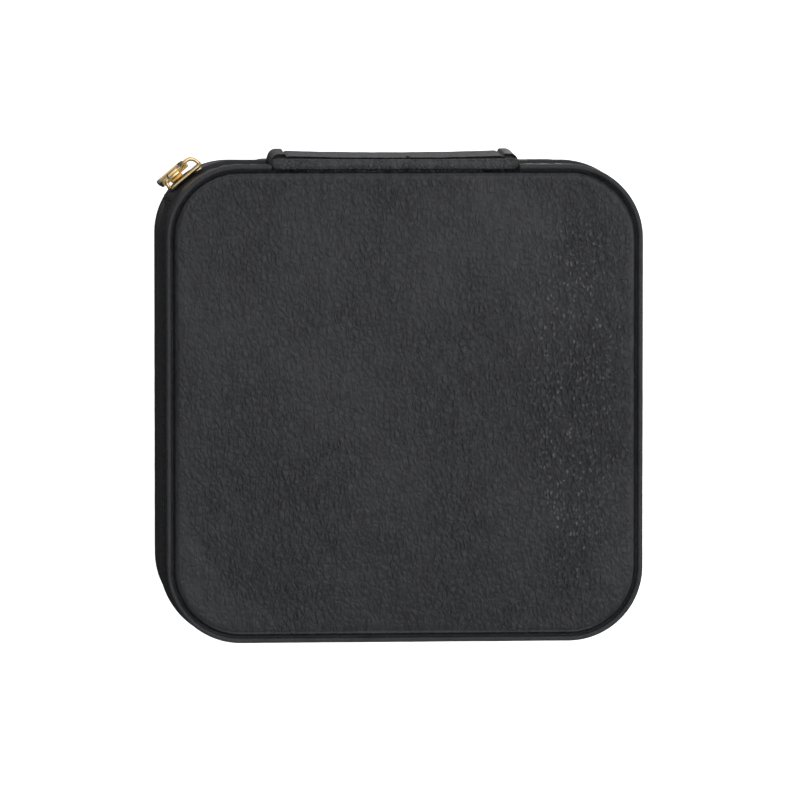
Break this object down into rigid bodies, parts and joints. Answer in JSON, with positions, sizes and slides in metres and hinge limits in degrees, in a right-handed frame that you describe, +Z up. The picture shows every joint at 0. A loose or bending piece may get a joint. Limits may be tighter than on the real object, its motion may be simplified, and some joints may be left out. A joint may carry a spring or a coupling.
{
  "type": "jewellery case",
  "caption": "Square zip-round leather jewellery case with a padded lid, a leather hinge strap and a gold zip slider.",
  "frame": {"origin": "centre of the base's flat rest face, on the surface the case stands on", "axes": "+Z up through the lid; +Y towards the hinge; +X to the right, seen from the front (-Y)"},
  "size_m": [0.1014, 0.1036, 0.05],
  "materials": {
    "black_leather": "pebbled, semi-matte",
    "trim_leather": "smooth, satin",
    "greyboard": "raw board",
    "foam": "soft foam sheet",
    "suede": "short nap",
    "zip_tape": "woven",
    "zip_teeth": "satin nylon",
    "gold_metal": "polished",
    "mirror_glass": "polished",
    "elastic": "gathered"
  },
  "bodies": {
    "base": {"base_panel_leather": "black_leather", "base_panel_board": "greyboard", "base_wall_board": "greyboard", "base_side_leather": "black_leather", "base_piping": "trim_leather", "base_lining_floor": "suede", "base_lining_rim": "suede", "base_zip_tape": "zip_tape", "base_zip_teeth": "zip_teeth", "zip_top_stop_base": "gold_metal", "zip_bottom_stop": "gold_metal", "hinge_strap_base": "trim_leather", "hinge_lining_base": "suede", "ring_roll_riser": "suede", "ring_roll_1": "suede", "ring_roll_2": "suede", "ring_roll_3": "suede", "ring_roll_4": "suede", "divider_long": "suede", "divider_left": "suede", "divider_right": "suede"},
    "lid": {"lid_panel_leather": "black_leather", "lid_foam_pad": "foam", "lid_panel_board": "greyboard", "lid_wall_board": "greyboard", "lid_side_leather": "black_leather", "lid_piping": "trim_leather", "lid_lining_panel": "suede", "lid_lining_wall": "suede", "mirror": "mirror_glass", "mirror_frame": "suede", "lid_pocket": "elastic", "pocket_elastic": "elastic", "lid_zip_tape": "zip_tape", "lid_zip_tape_end": "zip_tape", "lid_zip_teeth": "zip_teeth", "lid_zip_teeth_end": "zip_teeth", "zip_top_stop_lid": "gold_metal", "hinge_strap_lid": "trim_leather", "hinge_lining_lid": "suede"},
    "slider": {"slider_body": "gold_metal", "slider_bridge": "gold_metal"},
    "pull": {"pull_tab": "gold_metal"}
  },
  "joints": [
    {"name": "lid_hinge", "type": "hinge", "parent": "base", "child": "lid", "pos_m": [0, 0.0524, 0.032], "axis": [-1, 0, 0], "range_deg": [0, 175], "deforming": ["lid_zip_tape_end", "lid_zip_teeth_end", "zip_top_stop_lid"]},
    {"name": "slider_travel", "type": "hinge", "parent": "base", "child": "slider", "pos_m": [-0.0345, 0.0345, 0.032], "axis": [0, 0, 1], "range_deg": [0, 50]},
    {"name": "pull_tab_swing", "type": "hinge", "parent": "slider", "child": "pull", "pos_m": [-0.04623, 0.04848, 0.032], "axis": [0.766, 0.6428, 0], "range_deg": [-4, 175]}
  ]
}
